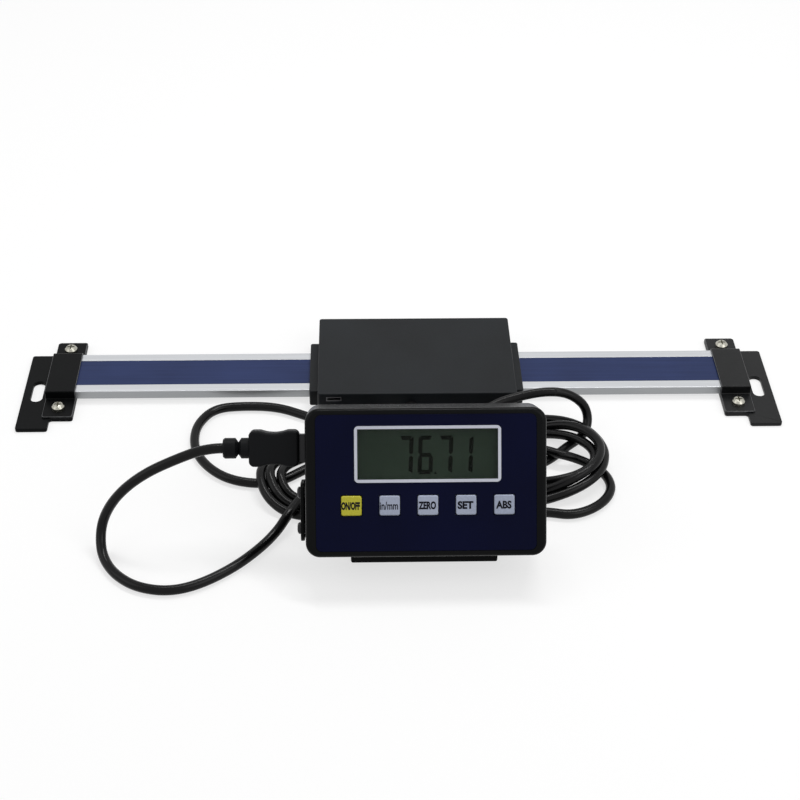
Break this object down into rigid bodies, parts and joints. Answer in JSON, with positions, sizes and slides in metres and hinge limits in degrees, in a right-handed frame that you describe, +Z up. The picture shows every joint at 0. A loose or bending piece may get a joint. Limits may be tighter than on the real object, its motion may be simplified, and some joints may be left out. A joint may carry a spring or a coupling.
{
  "type": "magnetic linear scale",
  "caption": "Linear scale with a sliding magnetic reading head on a slotted beam, wired to a leaning digital readout with buttons on a folded stand.",
  "frame": {"origin": "middle of the footprint without the cord, on the plane that the base plates and stand rest on", "axes": "+X along the beam to the reader's right, +Y from the readout towards the beam, +Z up"},
  "size_m": [0.3488, 0.1724, 0.0675],
  "materials": {
    "beam_aluminium": "clear anodised",
    "tape_rubber": "matte",
    "label_film": "printed film",
    "bracket_paint": "satin black",
    "bright_steel": "bright plated",
    "black_steel": "blackened",
    "head_anodised": "black anodised",
    "liner_plastic": "smooth",
    "circuit_board": "solder mask",
    "chip_plastic": "moulded",
    "port_metal": "nickel plated",
    "gland_rubber": "matte",
    "case_plastic": "fine texture",
    "overlay_film": "printed film",
    "bezel_print": "painted",
    "clear_window": "clear",
    "lcd_glass": "polarised",
    "strip_rubber": "matte",
    "pad_rubber": "matte",
    "cell_can": "wrapped",
    "button_yellow": "moulded",
    "button_grey": "moulded",
    "cord_jacket": "satin"
  },
  "bodies": {
    "scale_and_readout": {"beam": "beam_aluminium", "magnetic_tape": "tape_rubber", "scale_label": "label_film", "left_base_plate": "bracket_paint", "right_base_plate": "bracket_paint", "left_clamp_strap": "bracket_paint", "right_clamp_strap": "bracket_paint", "clamp_screws": "bright_steel", "display_front_case": "case_plastic", "display_back_case": "case_plastic", "face_overlay": "overlay_film", "lcd_bezel": "bezel_print", "lcd_window": "clear_window", "lcd_panel": "lcd_glass", "lcd_contact_strips": "strip_rubber", "display_board": "circuit_board", "display_board_screws": "bright_steel", "button_pad": "pad_rubber", "battery_cells": "cell_can", "battery_contacts": "port_metal", "display_socket": "port_metal", "case_screws": "black_steel", "stand_bracket": "bracket_paint", "stand_rear_screws": "black_steel", "stand_ear_screws": "black_steel", "stand_ear_washers": "black_steel", "plug_shell": "black_steel", "plug_grip": "cord_jacket", "plug_strain_relief": "cord_jacket", "cord_display_lead": "cord_jacket", "cord_left_loop": "cord_jacket", "cord_coil": "cord_jacket", "cord_head_lead": "cord_jacket"},
    "reading_head": {"head_slider": "head_anodised", "wear_strips": "liner_plastic", "head_cover": "head_anodised", "head_board": "circuit_board", "head_board_screws": "bright_steel", "magnetic_sensor": "chip_plastic", "head_data_port": "black_steel", "head_cover_screws": "bright_steel", "head_cable_gland": "gland_rubber"},
    "on_off_button": {"button_on_off": "button_yellow"},
    "units_button": {"button_units": "button_grey"},
    "zero_button": {"button_zero": "button_grey"},
    "set_button": {"button_set": "button_grey"},
    "abs_button": {"button_abs": "button_grey"},
    "battery_lid": {"battery_door": "case_plastic"}
  },
  "joints": [
    {"name": "head_slide", "type": "slide", "parent": "scale_and_readout", "child": "reading_head", "axis": [1, 0, 0], "range_m": [-0.1077, 0.0923]},
    {"name": "on_off_press", "type": "slide", "parent": "scale_and_readout", "child": "on_off_button", "axis": [0, 0.829, -0.5592], "range_m": [0, 0.0006], "stiffness_N_per_m": 1500},
    {"name": "units_press", "type": "slide", "parent": "scale_and_readout", "child": "units_button", "axis": [0, 0.829, -0.5592], "range_m": [0, 0.0006], "stiffness_N_per_m": 1500},
    {"name": "zero_press", "type": "slide", "parent": "scale_and_readout", "child": "zero_button", "axis": [0, 0.829, -0.5592], "range_m": [0, 0.0006], "stiffness_N_per_m": 1500},
    {"name": "set_press", "type": "slide", "parent": "scale_and_readout", "child": "set_button", "axis": [0, 0.829, -0.5592], "range_m": [0, 0.0006], "stiffness_N_per_m": 1500},
    {"name": "abs_press", "type": "slide", "parent": "scale_and_readout", "child": "abs_button", "axis": [0, 0.829, -0.5592], "range_m": [0, 0.0006], "stiffness_N_per_m": 1500},
    {"name": "door_slide", "type": "slide", "parent": "scale_and_readout", "child": "battery_lid", "axis": [0, 0.5592, 0.829], "range_m": [0, 0.028]}
  ]
}
